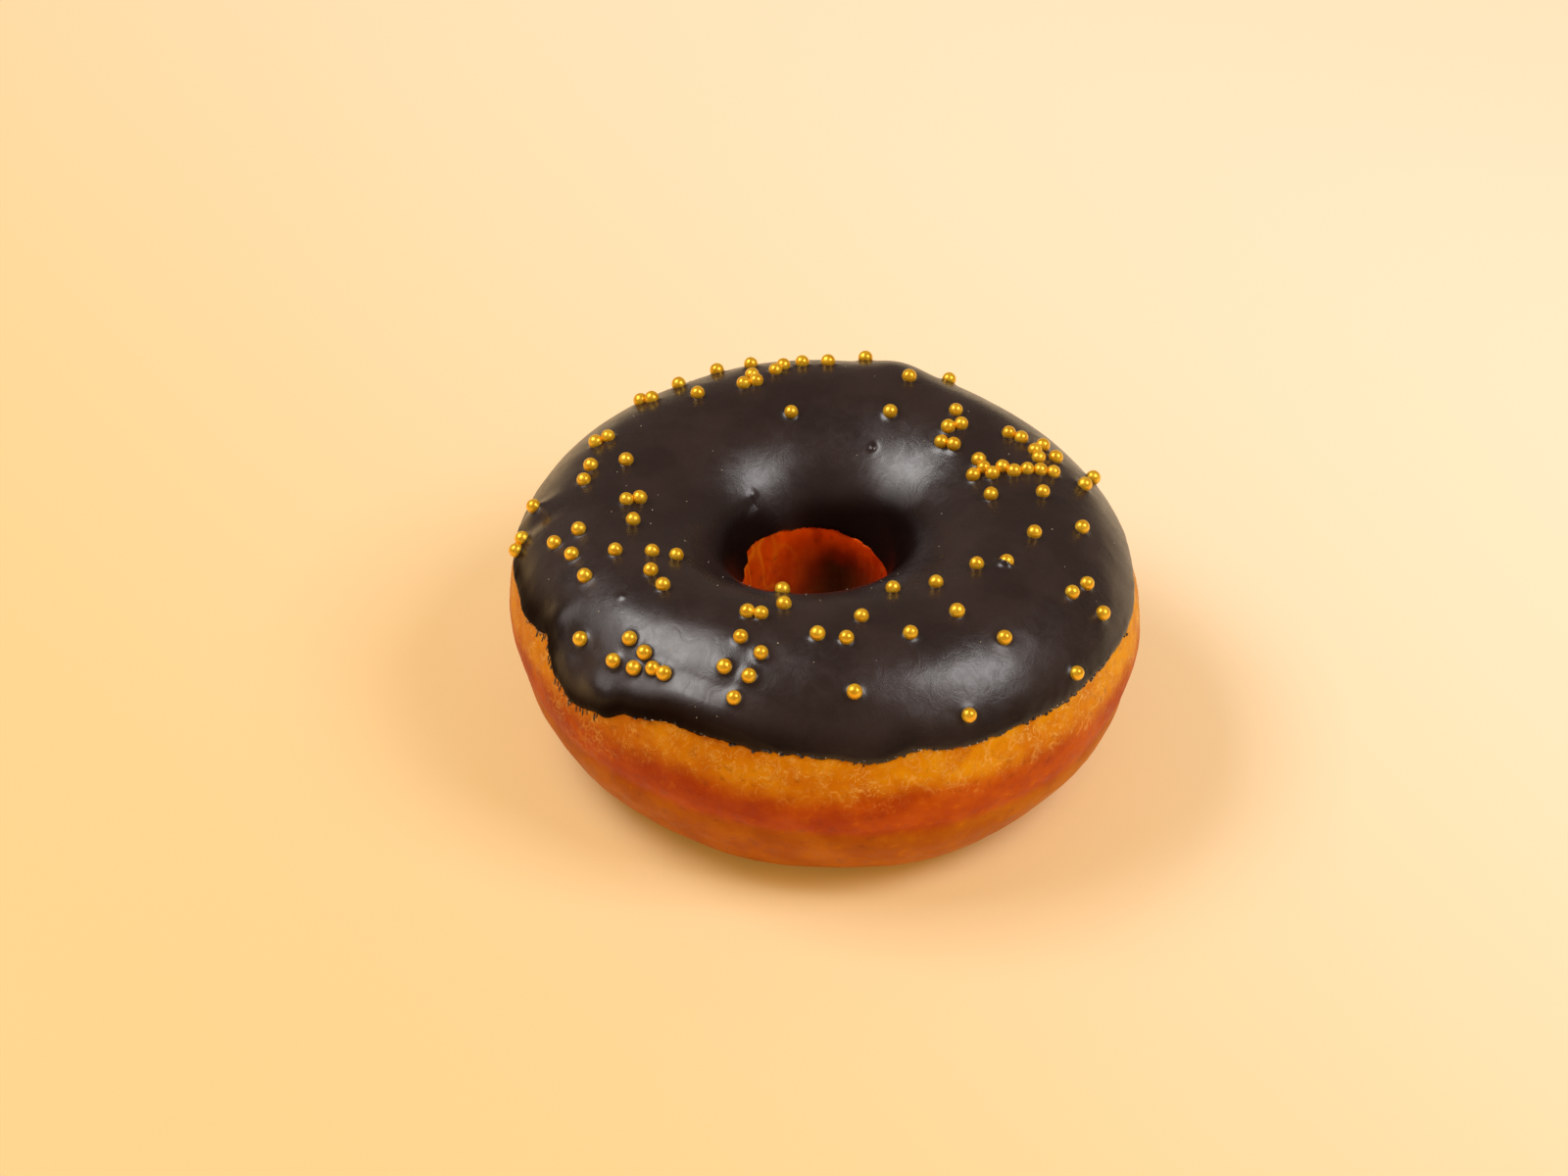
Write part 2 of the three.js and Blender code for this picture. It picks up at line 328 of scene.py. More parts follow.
# ---- Materials ----
# Colours as linear red, green and blue. A pair is mixed in soft patches.
GOLDEN = (0.68, 0.21, 0.0), (0.84, 0.36, 0.002)
BROWN = (0.44, 0.05, 0.0), (0.58, 0.1, 0.0)
BELLY = (0.45, 0.11, 0.0), (0.57, 0.175, 0.001)
HOLE_WALL = (0.62, 0.037, 0.0), (0.86, 0.08, 0.0)
# Painted light: a bright orange for folds on the hole's left wall.
PAINTED_LIGHT_FOLD = (0.95, 0.24, 0.006)
PALE_MOTTLE = (0.9, 0.36, 0.02)
DARK_MOTTLE = (0.2, 0.02, 0.0005)
FLAKE = (1.0, 0.58, 0.16)
FIBRE = (1.0, 0.6, 0.17)
# A darker, more orange tint multiplied into the crust towards the front left.
FRONT_LEFT_TINT = (0.86, 0.74, 0.5)
# Painted shade: near black red for the hole's far wall and its lower reaches.
PAINTED_HOLE_SHADE = (0.045, 0.0008, 0.0)
CRUST_SHEEN = (1.0, 0.6, 0.25, 1)
CRUST_DEPTHS = (1.0, 0.3, 0.08)  # how deep red, green and blue light get, as shares of the scale
CHOCOLATE = (0.02, 0.0102, 0.009), (0.029, 0.0148, 0.0128)
# Painted shade: multiplied into the glaze near its outer edge and down the hole.
EDGE_SHADE_TINT = (0.4, 0.36, 0.34)
GOLD = (0.92, 0.46, 0.012), (1.0, 0.6, 0.03)
CRUMB = (0.3, 0.1, 0.02), (0.6, 0.28, 0.1)
# Pale grains: specks on the glaze, and painted glints along the front hem.
PALE_SPECK_AND_GLINT = (0.35, 0.3, 0.25), (0.7, 0.62, 0.5)

# The glaze's specular level on its face and where its edge takes painted shade, turned down so that it
# mirrors little there.
FACE_GLOSS = 0.62
SHADED_EDGE_GLOSS = 0.01


def dough_fibres(tree):
    """Fine curled fibres of crust under the hem."""
    thin = threads(tree, 600, 0.035)
    thinner = threads(tree, 1300, 0.05)
    fibres = calculate(tree, "MAXIMUM", thin, calculate(tree, "MULTIPLY", thinner, 0.7))
    return calculate(tree, "MULTIPLY", fibres, attribute(tree, "flaky"))


def dough_colour(tree, patches, mottle, fibres):
    """Pale gold under the glaze, a dark band at the widest part, an orange belly and a red hole with
    painted light and shade.
    """
    uneven = spread(tree, patches, 0.35, 0.66)
    colour = blend(tree, uneven, *GOLDEN)
    for name, pair in (("band", BROWN), ("low", BELLY), ("wall", HOLE_WALL)):
        colour = blend(tree, attribute(tree, name), colour, blend(tree, uneven, *pair))
    # Painted light on folds of the hole's left wall.
    colour = blend(tree, attribute(tree, "painted_light"), colour, PAINTED_LIGHT_FOLD)
    colour = blend(tree, spread(tree, mottle, 0.55, 0.75, 0.0, 0.2), colour, PALE_MOTTLE)
    colour = blend(tree, spread(tree, mottle, 0.42, 0.25, 0.0, 0.35), colour, DARK_MOTTLE)
    colour = blend(tree, calculate(tree, "MULTIPLY", attribute(tree, "flake"), 0.75), colour, FLAKE)
    colour = blend(tree, calculate(tree, "MULTIPLY", fibres, 0.7), colour, FIBRE)
    # Darker and more orange towards the front left.
    colour = blend(tree, attribute(tree, "tan"), colour, FRONT_LEFT_TINT, "MULTIPLY")
    # Painted shade deep in the hole, where the attribute named deep is high.
    return blend(tree, attribute(tree, "deep"), colour, PAINTED_HOLE_SHADE)


def dough_material():
    """Fried dough, with a dull crust."""
    material, tree, shader = new_material("fried_dough")
    mottle = noise(tree, 650, 3)
    fibres = dough_fibres(tree)
    colour = dough_colour(tree, noise(tree, 160, 4), mottle, fibres)
    tree.links.new(colour, shader.inputs["Base Color"])
    tree.links.new(spread(tree, mottle, 0.3, 0.7, 0.42, 0.6), shader.inputs["Roughness"])
    rough = bump(tree, noise(tree, 2600, 3), 0.03 * MM, 0.5)
    raised = bump(tree, fibres, 0.08 * MM, 0.6, rough)
    tree.links.new(bump(tree, mottle, 0.12 * MM, 0.5, raised), shader.inputs["Normal"])
    shader.inputs["IOR"].default_value = 1.28
    shader.inputs["Specular Tint"].default_value = CRUST_SHEEN
    shader.inputs["Subsurface Weight"].default_value = 0.12
    shader.inputs["Subsurface Radius"].default_value = CRUST_DEPTHS
    shader.inputs["Subsurface Scale"].default_value = 0.8 * MM
    return material


def glaze_material():
    """Set chocolate glaze: nearly black brown, with a satin gloss broken by faint swirls, and painted shade
    at its edges.
    """
    material, tree, shader = new_material("chocolate_glaze")
    cloud = noise(tree, 120, 3)
    colour = blend(tree, spread(tree, cloud, 0.35, 0.65), *CHOCOLATE)
    # Painted shade near the outer edge and down the hole.
    colour = blend(tree, attribute(tree, "edge"), colour, EDGE_SHADE_TINT, "MULTIPLY")
    tree.links.new(colour, shader.inputs["Base Color"])
    swirl = noise(tree, 420, 5, 1.6, 0.65)
    swirled = spread(tree, swirl, 0.3, 0.7, 0.0, 0.08)
    clouded = spread(tree, cloud, 0.3, 0.7, 0.22, 0.29)
    tree.links.new(calculate(tree, "ADD", swirled, clouded), shader.inputs["Roughness"])
    fine = bump(tree, noise(tree, 3200, 3), 0.012 * MM, 0.5)
    tree.links.new(bump(tree, swirl, 0.07 * MM, 0.5, fine), shader.inputs["Normal"])
    shader.inputs["IOR"].default_value = 1.5
    # Less gloss where the painted shade lies, so little is mirrored there.
    gloss = spread(tree, attribute(tree, "edge"), 0, 1, FACE_GLOSS, SHADED_EDGE_GLOSS)
    tree.links.new(gloss, shader.inputs["Specular IOR Level"])
    return material


def gold_material():
    """Sugar pearl with a gold pearl lustre."""
    material, tree, shader = new_material("gold_pearl")
    cloud = noise(tree, 900, 3)
    colour = blend(tree, spread(tree, cloud, 0.35, 0.65), *GOLD)
    tree.links.new(colour, shader.inputs["Base Color"])
    tree.links.new(spread(tree, cloud, 0.3, 0.7, 0.24, 0.36), shader.inputs["Roughness"])
    tree.links.new(bump(tree, noise(tree, 2400, 2), 0.03 * MM, 0.5), shader.inputs["Normal"])
    shader.inputs["Metallic"].default_value = 0.5
    return material


def crumb_material(name, colours):
    """Slightly glossy grains, used for crumbs of crust and for pale specks and painted glints."""
    material, tree, shader = new_material(name)
    colour = blend(tree, spread(tree, noise(tree, 3000, 2), 0.35, 0.65), *colours)
    tree.links.new(colour, shader.inputs["Base Color"])
    tree.links.new(bump(tree, noise(tree, 6000, 2), 0.03 * MM, 0.5), shader.inputs["Normal"])
    shader.inputs["Roughness"].default_value = 0.3
    return material


# ---- Dough ----
CREASE_LEAN = 107
# Dents and, where the depth is negative, rolls all round the outside, as [lean from the crease, depth, half
# width in degrees].
CREASE_PROFILE = [[0, 0.26 * MM, 3.6], [-13, -0.22 * MM, 8], [10, -0.16 * MM, 6]]
# Unevenness as [depth, width of its bumps, seed].
DOUGH_NOISE = [[0.35 * MM, 17 * MM, 12], [0.09 * MM, 5 * MM, 13], [0.035 * MM, 1.8 * MM, 14]]
HOLE_FOLDS = [[0.4 * MM, 3.2 * MM, 18], [0.16 * MM, 1.3 * MM, 19]]
BAND_WANDER = [[3.0, 9 * MM, 21], [2.0, 3 * MM, 22]]  # in degrees of lean
FLAKE_HEIGHT = 0.07 * MM
FLAKE_WIDTH = 0.085  # in the noise's own values: flakes run along its zero lines


def crease_lean(points):
    """Where the crease below the widest part runs."""
    return CREASE_LEAN + 2.5 * noise_at(points, 30 * MM, 11)


def flakes(points, flaky):
    """How much each place shows of a raised flake of crust."""
    crinkle = 1 - np.abs(noise_at(points * [1, 1, 0.8], 1.5 * MM, 15)) / FLAKE_WIDTH
    broken = smooth(noise_at(points, 2.6 * MM, 16) + 0.25 * flaky, 0.12, 0.4)
    return np.clip(crinkle, 0, 1) * broken * flaky


def dough_depths(bearing, lean, outer):
    """How deep the dough's surface lies under the smooth skin, and how much each place shows of a flake."""
    points = skin(bearing, lean)
    free = smooth(points[..., 2], 0, 2.5 * MM)  # no unevenness where the dough rests
    outside = smooth(lean, 20, 40)
    crease = crease_lean(points)
    depth = sum(deep * hump(lean, crease + away, width) for away, deep, width in CREASE_PROFILE) * outside
    depth += layered_noise(points, DOUGH_NOISE)
    under_hem = lean - outer
    flaky = outside * smooth(under_hem, -4, 1) * (1 - smooth(under_hem, 16, 30))
    flake = flakes(points, flaky)
    depth -= FLAKE_HEIGHT * flake
    depth += 0.05 * MM * flaky * noise_at(points, 0.8 * MM, 17)
    hole = smooth(-lean, 60, 75) * (1 - smooth(-lean, 135, 150))
    depth -= hole_fill(bearing, lean) * (1 - smooth(-lean, 120, 150))
    depth += hole * layered_noise(points * [1, 1, 0.22], HOLE_FOLDS)
    return depth * free, flake


def dough_shades(bearing, lean, flake):
    """Where the dough takes each of its colours, and its painted light and shade in the hole, from 0 to 1.
    """
    points = skin(bearing, lean)
    wander = layered_noise(points, BAND_WANDER)
    crease = crease_lean(points)
    below_hem = lean - OUTER_EDGE[:, None]
    outside = smooth(lean, 20, 40)
    # Painted shade on the hole's far wall, which faces the viewer.
    far_wall_shade = hump(turn_from(bearing, 78), 0, 38) * smooth(-lean - 2 * wander, 79, 96)
    folds = noise_at(points * [1, 1, 0.3], 2.4 * MM, 23)
    # Painted light on the hole's left wall, brightest along its folds.
    painted_light_wall = hump(turn_from(bearing, 160), 0, 42) * smooth(-lean, 60, 70)
    return {
        "band": smooth(lean + wander, 80, 94),
        "low": smooth(lean + 0.5 * wander, crease - 3, crease + 4),
        "flake": 0.7 * flake,
        "flaky": smooth(below_hem, -4, 1) * (1 - smooth(below_hem, 12, 28)) * outside,
        "wall": smooth(-lean, 20, 40),
        # Painted shade deep in the hole: the far wall, and the lowest part of the wall all round.
        "deep": np.maximum(far_wall_shade, 0.8 * smooth(-lean - 2 * wander, 98, 125)),
        # Painted light along the folds of the hole's left wall.
        "painted_light": (0.18 + 0.6 * hump(folds, 0.05, 0.09)) * painted_light_wall,
        # Darker and more orange towards the front left.
        "tan": smooth(np.cos(np.radians(bearing - FRONT_LEFT)), -0.1, 0.9),
    }


def dough(material):
    outer, inner = OUTER_EDGE, INNER_EDGE
    margin, tuck = lean_for(HEM_MARGIN), lean_for(TUCK)
    lean = np.hstack([
        between(BASE_LEAN, outer + margin, BELLY_ROWS, False),
        between(outer + margin, outer - tuck, HEM_ROWS, False),
        between(outer - tuck, inner + tuck, SEAT_ROWS, False),
        between(inner + tuck, inner - margin, HEM_ROWS, False),
        between(inner - margin, -BASE_LEAN, HOLE_ROWS),
    ])
    bearing = np.broadcast_to(BEARING[:, None], lean.shape)
    depth, flake = dough_depths(bearing, lean, outer[:, None])
    covered = smooth(outer[:, None] - lean, 0, tuck) * smooth(lean - inner[:, None], 0, tuck)
    depth = depth * (1 - covered) + (SEAT_DEPTH - hole_fill(bearing, lean)) * covered
    loops = skin(bearing, lean, depth)
    first, last = loops[:, :1], loops[:, -1:]
    across = np.linspace(0, 1, BASE_ROWS + 2)[None, 1:-1, None]
    loops = np.concatenate([loops, last + (first - last) * across], 1)
    faces = ring_faces(*loops.shape[:2])
    piece = mesh_object("fried_dough", loops, faces, material, ["dough_ring"])
    for name, values in dough_shades(bearing, lean, flake).items():
        base = np.ones((BEARINGS, BASE_ROWS)) * (name == "low")
        add_attribute(piece, name, np.hstack([values, base]))
    return piece


# ---- Glaze ----
# Bumps and dents in the glaze's face: [bearing, lean, height, half width along the ring, half width across
# it], the last three in millimetres.
SWELLS = [
    [72, 27, 1.0, 4.4, 6],
    [66, -36, -0.35, 0.55, 0.55],
    [134.5, -49.5, 0.16, 0.7, 0.6],
    [215, 21, 0.12, 0.6, 0.5],
    [171, 49, 0.35, 1.6, 4],
    [186, 62, -0.25, 2.4, 3],
    [206, 52, 0.35, 2.2, 3],
    [214, 66, 0.4, 2.6, 2.4],
    [199, 60, -0.3, 2.0, 3],
    [222, 62, 0.25, 2.5, 3],
    [176, 50, -0.3, 1.6, 5],
]
# Unevenness as [height, width of its bumps, seed].
GLAZE_NOISE = [[0.22 * MM, 16 * MM, 31], [0.07 * MM, 6 * MM, 32], [0.02 * MM, 2.2 * MM, 33]]
LUMPS = [[0.13 * MM, 3.8 * MM, 34], [0.02 * MM, 1.4 * MM, 35]]
HEM_LUMPS = [[0.06 * MM, 1.3 * MM, 36]]
LIP_WIDTH = 0.8 * MM
LIP_HEIGHT = 0.5 * MM
LOBE_WIDTH = 3.6 * MM  # how much wider the lip is on the lobe
LOBE_HEIGHT = 0.9 * MM  # how much higher it is there
LIP_START = -18  # degrees round the lip's curve, where 0 is its very edge and 90 the face
FOLD_START, FOLD_LENGTH = 136, 38  # in degrees of bearing
FOLD_LEAN = -53.5
FOLD_DEPTH = 0.16 * MM


def lobe(bearing):
    """1 on the slow, thick lobe on the front left, 0 elsewhere."""
    return smooth(bearing, 206, 226) * (1 - smooth(bearing, 250, 263))


def lip_width(bearing):
    """How wide the rounded edge is."""
    return LIP_WIDTH + LOBE_WIDTH * lobe(bearing)


def lip_height(bearing):
    return LIP_HEIGHT + LOBE_HEIGHT * lobe(bearing)


def fold(bearing, lean):
    """A groove that starts at a small tip on the hole's far left wall, widens round the wall and fades."""
    along = (bearing - FOLD_START) / FOLD_LENGTH
    shown = smooth(along, -0.04, 0.03) * (1 - smooth(along, 0.55, 1.0))
    half_width = 2.8 + 5.0 * np.clip(along, 0, 1)
    return -FOLD_DEPTH * shown * hump(lean, FOLD_LEAN - 3 * along, half_width)


def swells(bearing, lean, points):
    """The single bumps and dents."""
    lift = np.zeros(lean.shape)
    from_axis = np.hypot(points[..., 0], points[..., 1])
    for at, tilt, height, along, across in SWELLS:
        ring = np.radians(turn_from(bearing, at)) * from_axis / MM
        section = np.radians(lean - tilt) * CROWN_HEIGHT / MM
        lift += height * MM * np.exp(-((ring / along) ** 2) - (section / across) ** 2)
    return lift


def glaze_lift(bearing, lean, outer):
    """How far the glaze's face stands out from the smooth skin, away from its edges and pearls."""
    points = skin(bearing, lean)
    lift = GLAZE_PROUD + layered_noise(points, GLAZE_NOISE) + swells(bearing, lean, points)
    lumpy = smooth(bearing, 192, 202) * (1 - smooth(bearing, 222, 232)) * smooth(lean, 36, 56)
    lift += lumpy * layered_noise(points, LUMPS)
    lift += smooth(lean, outer - 9, outer - 1) * layered_noise(points, HEM_LUMPS)
    return lift + fold(bearing, lean) + hole_fill(bearing, lean)


def face_lift(bearing, lean, outer):
    """The face's lift with the glaze that has pooled above the outer hem."""
    pooled = (lip_height(bearing) - GLAZE_PROUD) * smooth(lean, outer - 26, outer - 8)
    return glaze_lift(bearing, lean, outer) + pooled


def painted_edge_shade(bearing, lean, outer):
    """Where the glaze is darkened and dulled as painted shade: near the outer edge, most on the left, and
    down the hole's wall.
    """
    left = 0.45 + 0.55 * smooth(np.cos(np.radians(bearing - FRONT_LEFT)), 0.3, 0.9)
    reach = 20 + 14 * hump(turn_from(bearing, 198), 0, 12)
    near_edge = left * smooth(lean, outer - reach, outer - 4)
    start = 52 - 15 * np.cos(np.radians(bearing)) ** 2
    down_hole = 0.95 - 0.5 * hump(turn_from(bearing, 118), 0, 13)
    return np.maximum(near_edge, down_hole * smooth(-lean, start, start + 20))


def glaze(material, centres):
    outer, inner = hem_lean(OUTER_HEM, BEARING), hem_lean(INNER_HEM, BEARING)
    turn = np.radians(np.linspace(LIP_START, 90, LIP_ROWS))
    ragged = np.cos(turn)  # fully at the very edge, not at all on the face
    run_out = lip_width(BEARING)[:, None] * (1 - np.cos(turn))
    run_in = LIP_WIDTH * (1 - np.cos(turn)) * np.ones((BEARINGS, 1))
    face_end, face_start = outer - lean_for(lip_width(BEARING)), inner + lean_for(LIP_WIDTH)
    lean = np.hstack([
        outer[:, None] + (OUTER_EDGE - outer)[:, None] * ragged - lean_for(run_out),
        between(face_end, face_start, FACE_ROWS)[:, 1:-1],
        (inner[:, None] + (INNER_EDGE - inner)[:, None] * ragged + lean_for(run_in))[:, ::-1],
    ])
    full = np.ones((BEARINGS, 1))
    face = np.ones((BEARINGS, FACE_ROWS - 2))
    height = np.hstack([full * np.sin(turn), face, full * np.sin(turn)[::-1]])
    bearing = np.broadcast_to(BEARING[:, None], lean.shape)
    filled = hole_fill(bearing, lean)
    lift = (face_lift(bearing, lean, outer[:, None]) - filled) * np.clip(height, 0, 1)
    lift = filled + np.where(height < 0.02, 0.9 * height * MM, lift)
    bare = skin(bearing, lean, -lift)
    front = skin(bearing, lean, -lift - menisci(bare, centres) * np.clip(height, 0, 1))
    margin = lean_for(HEM_MARGIN)
    back_lean = between(INNER_EDGE + margin, OUTER_EDGE - margin, SEAT_ROWS)
    back_bearing = np.broadcast_to(BEARING[:, None], back_lean.shape)
    back = skin(back_bearing, back_lean, BACK_DEPTH - hole_fill(back_bearing, back_lean))
    loops = np.concatenate([front, back], 1)
    faces = ring_faces(*loops.shape[:2])
    piece = mesh_object("glaze_shell", loops, faces, material, ["chocolate_glaze"])
    # Painted shade near the outer edge and down the hole, kept as the edge attribute.
    edge = painted_edge_shade(bearing, lean, outer[:, None])
    add_attribute(piece, "edge", np.hstack([edge, np.ones(back_lean.shape)]))
    return piece


CLIMB = 0.26 * MM  # up a pearl
SUNKEN_CLIMB = 1.0 * MM
COVERING = 0.5 * MM  # a pearl that the glaze climbs further than this is covered on one side only
VIEWER_SIDE = np.array([-0.6, -0.8, 0])
CLIMB_START = 0.86 * PEARL_RADIUS  # from the pearl's axis: full height up to here
CLIMB_FALLOFF = 0.38 * MM
CLIMB_REACH = 4 * MM  # the glaze further from a pearl than this is left as it is


def menisci(points, centres):
    """How far the glaze climbs up each pearl."""
    climb = np.zeros(points.shape[:-1])
    for centre, normal, height in centres:
        away = points - centre
        near = np.abs(away).max(-1) < CLIMB_REACH
        local = away[near]
        across = local - (local @ normal)[:, None] * normal
        radial = np.linalg.norm(across, axis=-1)
        rise = height * np.exp(-np.maximum(radial - CLIMB_START, 0) / CLIMB_FALLOFF)
        if height > COVERING:
            rise *= smooth(across @ VIEWER_SIDE / MM, -0.5, 0.9)
        climb[near] = np.maximum(climb[near], rise)
    return climb


# ---- Pearls ----
ALIKE = 0.001 * MM  # corners nearer than this are one corner
CROWDED = 0.12 * MM  # how closely a pearl's corners agree on its centre
VOTES_NEEDED = 8
LEAN_STEP = 0.5
PEARL_SIZES = 0.99, 1.07  # as shares of the radius


def ball(detail):
    """An icosphere of radius 1, as points and triangles."""
    mesh = bpy.data.meshes.new("ball")
    shape = bmesh.new()
    bmesh.ops.create_icosphere(shape, subdivisions=detail, radius=1)
    shape.to_mesh(mesh)
    shape.free()
    points = np.array([v.co for v in mesh.vertices])
    faces = np.array([f.vertices[:] for f in mesh.polygons])
    bpy.data.meshes.remove(mesh)
    return points, faces


def node_points(name):
    """A CAD node's corners, each once, with the direction its facets face there."""
    mesh = frame["nodes"][name].data
    mesh.calc_loop_triangles()
    points = np.array([v.co for v in mesh.vertices])
    faces = np.array([t.vertices[:] for t in mesh.loop_triangles])
    steps = np.round(points / ALIKE).astype(np.int64)
    unique, back = np.unique(steps, axis=0, return_inverse=True)
    unique = unique * ALIKE
    corners = back.ravel()[faces]
    a, b, c = (unique[corners[:, i]] for i in range(3))
    facing = np.cross(b - a, c - a)
    normals = np.zeros_like(unique)
    for i in range(3):
        np.add.at(normals, corners[:, i], facing)
    return unique, normals / np.maximum(np.linalg.norm(normals, axis=1), 1e-12)[:, None]


def pearl_centres(name):
    """The centres of a CAD node's faceted pearls. An uncut corner's normal runs through its centre."""
    points, normals = node_points(name)
    votes = points - CORNER_RADIUS * normals
    found = []
    left = np.ones(len(votes), bool)
    while left.any():
        gaps = np.linalg.norm(votes[left][:, None] - votes[left][None], axis=-1)
        crowd = (gaps < CROWDED).sum(1)
        if crowd.max() < VOTES_NEEDED:
            break
        best = votes[left][crowd.argmax()]
        gap = np.linalg.norm(votes - best, axis=1)
        found.append(np.median(votes[gap < CROWDED], axis=0))
        left &= gap > PEARL_RADIUS / 2
    return found


def place_under(centre):
    """The bearing and lean under a pearl, the lean found on a grid of half degrees."""
    bearing = math.degrees(math.atan2(centre[1], centre[0])) % 360
    leans = np.arange(-90, 91, LEAN_STEP)
    points = skin(np.full(leans.shape, bearing), leans, -GLAZE_PROUD)
    return bearing, leans[np.linalg.norm(points - centre, axis=1).argmin()]


def seat(centre, bearing, lean, climb=CLIMB):
    """A pearl moved with the swell under it: its centre, its facing and how high the glaze climbs it."""
    place = np.array([bearing]), np.array([lean])
    normal = skin_normal(*place)[0]
    swell = face_lift(*place, hem_lean(OUTER_HEM, place[0]))[0] - GLAZE_PROUD
    return centre + swell * normal, normal, climb


def pearl_piece(name, centres, material, shape, rng, replaced=()):
    """One or more pearls, each a little out of round."""
    points, faces = shape
    all_points, all_faces = [], []
    for i, centre in enumerate(centres):
        dents = noise_at(points + rng.uniform(0, 9, 3), 0.9)
        uneven = 1 + 0.02 * dents + 0.006 * noise_at(points, 0.3, 5)
        radius = PEARL_RADIUS * rng.uniform(*PEARL_SIZES)
        all_faces.append(faces + i * len(points))
        all_points.append(centre + points * uneven[:, None] * radius)
    corners, triangles = np.vstack(all_points), np.vstack(all_faces)
    return mesh_object(name, corners, triangles, material, replaced)


def pearls(material):
    """All the pearls. Returns each one's centre, the skin's facing there and the glaze's climb up it."""
    rng = np.random.default_rng(SEED)
    shape = ball(4)
    seats = []
    for name in sorted(frame["nodes"]):
        if "pearl" not in name:
            continue
        climb = SUNKEN_CLIMB if name == "sunken_pearl" else CLIMB
        here = [seat(centre, *place_under(centre), climb) for centre in pearl_centres(name)]
        pearl_piece("gold_" + name, [place[0] for place in here], material, shape, rng, [name])
        seats += here
    lift = PEARL_RADIUS + GLAZE_PROUD - PEARL_SINK
    for i, (bearing, lean) in enumerate(PLAIN_PEARLS + FAR_SLOPE_PEARLS):
        here = seat(skin(np.array(bearing), np.array(lean), -lift), bearing, lean)
        pearl_piece(f"gold_extra_pearl_{i + 1:02d}", [here[0]], material, shape, rng)
        seats.append(here)
    return seats


# ---- Small bits ----
# How many of each kind, and the bearings between which they lie. Specks lie all round, between two leans.
RUNS, RUN_SPAN = 20, (201, 224)
BEADS, BEAD_SPAN = 34, (250, 340)
LIP_BEADS, LIP_BEAD_SPAN = 44, (232, 335)
CRUMBS, CRUMB_SPAN = 12, (196, 207)
LOBE_CRUMBS, LOBE_CRUMB_SPAN = 5, (210, 224)
SPECKS, SPECK_LEANS = 70, (-45, 58)
# Pale grains along the front hem that are painted glints.
HEM_GLINTS, HEM_GLINT_SPAN = 30, (236, 330)
RUN_THICKNESS = 0.14 * MM
BEAD_THICKNESS = 0.17 * MM
LIP_BEAD_THICKNESS = 0.2 * MM


def grains(name, places, material):
    """Small rounded bits as one piece. Each has a bearing, a lean, a height over the skin, and half sizes
    round the ring, down its section and outwards."""
    points, faces = ball(2)
    all_points, all_faces = [], []
    for i, (bearing, lean, height, along, down, out) in enumerate(places):
        place = np.array([bearing]), np.array([lean])
        outward = skin_normal(*place)[0]
        turn = math.radians(bearing)
        forward = np.array([-math.sin(turn), math.cos(turn), 0])
        axes = np.array([forward * along, np.cross(forward, outward) * down, outward * out])
        all_points.append(skin(*place, -height)[0] + points @ axes)
        all_faces.append(faces + i * len(points))
    return mesh_object(name, np.vstack(all_points), np.vstack(all_faces), material)


def hem_at(bearing):
    """The smooth outer hem's lean at one bearing."""
    return hem_lean(OUTER_HEM, np.array([bearing]))[0]


def edge_at(bearing):
    """The ragged outer edge's lean at one bearing."""
    return np.interp(bearing, BEARING, OUTER_EDGE)


def dough_level(bearing, lean):
    """How high the dough's surface stands over the skin."""
    depth, _ = dough_depths(np.array([bearing]), np.array([lean]), hem_at(bearing))
    return -depth[0]


def face_level(bearing, lean):
    """How high the glaze's face stands over the skin."""
    return face_lift(np.array([bearing]), np.array([lean]), hem_at(bearing))[0]


def lip_level(bearing, lean, inside):
    """How high the glaze's rounded edge stands over the skin, this far inside the hem."""
    share = 1 - min(inside / lip_width(bearing), 1)
    return face_level(bearing, lean) * math.sqrt(1 - share * share)


def drips(material):
    """Thin runs of glaze under the hem on the left, and small set beads along the hem in front."""
    rng = np.random.default_rng(SEED + 1)
    places = []
    for bearing in np.linspace(*RUN_SPAN, RUNS) + rng.uniform(-0.5, 0.5, RUNS):
        long = rng.uniform(0.35, 0.85) * MM
        lean = edge_at(bearing) + lean_for(long * rng.uniform(0.7, 1.2))
        wide = rng.uniform(0.1, 0.2) * MM
        places.append([bearing, lean, dough_level(bearing, lean), wide, long, RUN_THICKNESS])
    for bearing in rng.uniform(*BEAD_SPAN, BEADS):
        wide, long = rng.uniform(0.12, 0.42) * MM, rng.uniform(0.12, 0.3) * MM
        lean = edge_at(bearing) + lean_for(rng.uniform(-0.25, 0.3) * MM)
        level = dough_level(bearing, lean) + 0.06 * MM
        places.append([bearing, lean, level, wide, long, BEAD_THICKNESS])
    for bearing in rng.uniform(*LIP_BEAD_SPAN, LIP_BEADS):
        inside = rng.uniform(0.1, 0.45) * MM
        wide, long = rng.uniform(0.16, 0.34) * MM, rng.uniform(0.14, 0.26) * MM
        lean = hem_at(bearing) - lean_for(inside)
        level = lip_level(bearing, lean, inside) - 0.04 * MM
        places.append([bearing, lean, level, wide, long, LIP_BEAD_THICKNESS])
    grains("glaze_drips", places, material)


def crumbs(material):
    """Crumbs of crust caught by the glaze's edge on the left."""
    rng = np.random.default_rng(SEED + 2)
    places = []
    bearings = np.append(rng.uniform(*CRUMB_SPAN, CRUMBS), rng.uniform(*LOBE_CRUMB_SPAN, LOBE_CRUMBS))
    for bearing in bearings:
        lean = edge_at(bearing) + lean_for(rng.uniform(-0.15, 0.35) * MM)
        sizes = rng.uniform(0.1, 0.26, 3) * MM
        places.append([bearing, lean, dough_level(bearing, lean) + 0.1 * MM, *sizes])
    grains("crust_crumbs", places, material)


